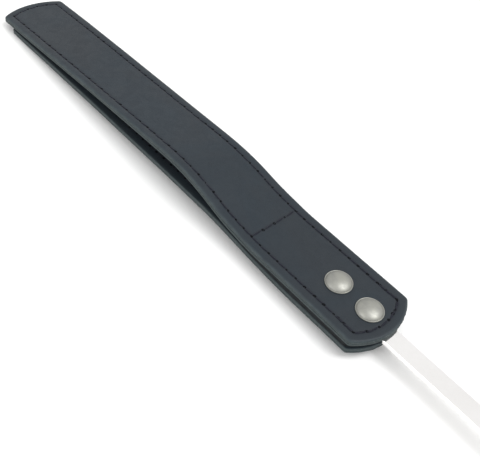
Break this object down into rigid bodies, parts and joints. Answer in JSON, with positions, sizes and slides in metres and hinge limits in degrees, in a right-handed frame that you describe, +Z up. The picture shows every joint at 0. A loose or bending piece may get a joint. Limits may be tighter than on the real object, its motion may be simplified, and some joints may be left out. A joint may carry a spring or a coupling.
{
  "type": "riding crop",
  "caption": "Riding crop with a stitched and riveted black leather head of two free tongues on a flat polished steel bar, and a leather-sleeved grip with a ball pommel.",
  "frame": {"origin": "on the ground under the middle of the crop's box", "axes": "+X along the crop towards the tongue tips, +Z up with the crop lying on its pommel and lower tongue"},
  "size_m": [0.5936, 0.03, 0.03],
  "materials": {
    "head_leather": "smooth semi-matte black leather",
    "lining_leather": "matte black leather",
    "head_thread": "waxed black thread",
    "polished_steel": "polished",
    "satin_nickel": "satin nickel",
    "beech": "turned and left plain",
    "grip_leather": "smooth semi-matte black leather",
    "grip_thread": "waxed black thread"
  },
  "bodies": {
    "crop": {"steel_bar": "polished_steel", "upper_root_face": "head_leather", "upper_root_lining": "lining_leather", "head_filler": "lining_leather", "lower_root_lining": "lining_leather", "lower_root_face": "head_leather", "rivet_caps_upper": "satin_nickel", "rivet_caps_lower": "satin_nickel", "rivet_posts": "satin_nickel", "upper_root_stitches": "head_thread", "upper_cross_stitches": "head_thread", "lower_root_stitches": "head_thread", "lower_cross_stitches": "head_thread", "ferrule": "polished_steel", "grip_core_upper": "beech", "grip_core_lower": "beech", "grip_pins": "satin_nickel", "grip_sleeve": "grip_leather", "grip_seam_stitches": "grip_thread", "pommel": "polished_steel", "pommel_pin": "satin_nickel", "lanyard_bush": "satin_nickel"},
    "upper_tongue": {"upper_tongue_face": "head_leather", "upper_tongue_lining": "lining_leather", "upper_tongue_stitches": "head_thread"},
    "lower_tongue": {"lower_tongue_lining": "lining_leather", "lower_tongue_face": "head_leather", "lower_tongue_stitches": "head_thread"}
  },
  "joints": [
    {"name": "upper_tongue_flex", "type": "hinge", "parent": "crop", "child": "upper_tongue", "pos_m": [0.12715, 0, 0.00882], "axis": [0, -1, 0], "range_deg": [0, 50], "stiffness_Nm_per_rad": 0.5},
    {"name": "lower_tongue_flex", "type": "hinge", "parent": "crop", "child": "lower_tongue", "pos_m": [0.12707, 0, 0.00516], "axis": [0, 1, 0], "range_deg": [0, 50], "stiffness_Nm_per_rad": 0.5, "springref_deg": -1.15}
  ]
}
